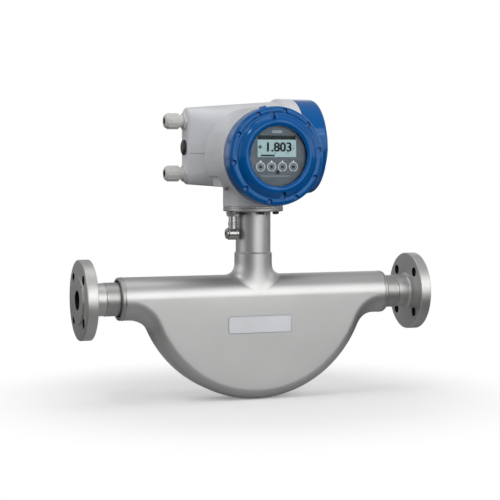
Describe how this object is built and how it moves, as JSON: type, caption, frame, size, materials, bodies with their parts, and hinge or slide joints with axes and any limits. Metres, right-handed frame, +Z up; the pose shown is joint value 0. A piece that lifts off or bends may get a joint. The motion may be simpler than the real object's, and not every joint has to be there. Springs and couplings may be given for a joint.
{
  "type": "coriolis flow meter",
  "caption": "Coriolis mass flow meter: flanged pipe sensor with a half-moon housing over two bent measuring tubes, neck, and round field converter with a glass-fronted display.",
  "frame": {"origin": "centre of the inlet flange's raised face, on the pipe axis", "axes": "+X with the flow along the pipe, -Y towards the display side, +Z up towards the converter"},
  "size_m": [0.528, 0.2115, 0.4395],
  "materials": {
    "blasted_steel": "bead blasted",
    "turned_steel": "turned",
    "tube_steel": "drawn",
    "dark_steel": "dull",
    "copper": "enamelled wire",
    "magnet": "nickel plated",
    "brass": "satin",
    "black_rubber": "matte",
    "grey_paint": "satin silver grey",
    "blue_paint": "glossy",
    "clear_glass": "clear",
    "grey_plastic": "satin",
    "black_plastic": "matte",
    "pale_plastic": "satin",
    "green_plastic": "satin",
    "display": "pale liquid crystal",
    "board": "solder mask"
  },
  "bodies": {
    "sensor": {"containment_housing": "blasted_steel", "inlet_flange": "turned_steel", "outlet_flange": "turned_steel", "inlet_manifold": "turned_steel", "outlet_manifold": "turned_steel", "front_measuring_tube": "tube_steel", "rear_measuring_tube": "tube_steel", "node_plates": "tube_steel", "drive_coil": "copper", "drive_magnet": "magnet", "pickoff_coils": "copper", "pickoff_magnets": "magnet", "temperature_sensor": "brass", "neck_tube": "blasted_steel", "feedthrough": "dark_steel", "feedthrough_wires": "copper", "mounting_plate": "turned_steel", "plate_screws": "dark_steel", "plate_seal": "black_rubber", "test_port": "turned_steel", "converter_housing": "grey_paint", "display_bezel": "grey_plastic", "display_panel": "display", "optical_keys": "black_plastic", "electronics_carrier": "black_plastic", "main_boards": "board", "terminal_block": "green_plastic", "terminal_screws": "turned_steel", "gland_bodies": "pale_plastic", "gland_seals": "black_rubber", "earth_screw": "turned_steel"},
    "front_cover": {"front_cover": "blue_paint", "front_cover_seal": "black_rubber", "window_glass": "clear_glass", "window_ring": "dark_steel"},
    "rear_cover": {"rear_cover": "blue_paint", "rear_cover_seal": "black_rubber"},
    "upper_gland_nut": {"upper_gland_nut": "pale_plastic"},
    "lower_gland_nut": {"lower_gland_nut": "pale_plastic"},
    "blanking_plug": {"blanking_plug": "black_plastic"},
    "test_port_plug": {"test_port_plug": "turned_steel"}
  },
  "joints": [
    {"name": "front_cover_thread", "type": "hinge", "parent": "sensor", "child": "front_cover", "pos_m": [0.264, -0.074, 0.2035], "axis": [0, -1, 0], "continuous": true},
    {"name": "rear_cover_thread", "type": "hinge", "parent": "sensor", "child": "rear_cover", "pos_m": [0.3325, 0.032, 0.2185], "axis": [1, 0, 0], "continuous": true},
    {"name": "upper_gland_nut_thread", "type": "hinge", "parent": "sensor", "child": "upper_gland_nut", "pos_m": [0.1595, 0.032, 0.2545], "axis": [-1, 0, 0], "continuous": true},
    {"name": "lower_gland_nut_thread", "type": "hinge", "parent": "sensor", "child": "lower_gland_nut", "pos_m": [0.1595, 0.032, 0.1785], "axis": [-1, 0, 0], "continuous": true},
    {"name": "blanking_plug_thread", "type": "hinge", "parent": "sensor", "child": "blanking_plug", "pos_m": [0.169, 0.032, 0.2165], "axis": [-1, 0, 0], "continuous": true},
    {"name": "test_port_plug_thread", "type": "hinge", "parent": "sensor", "child": "test_port_plug", "pos_m": [0.22141, -0.01006, 0.0915], "axis": [-1, 0, 0], "continuous": true}
  ]
}
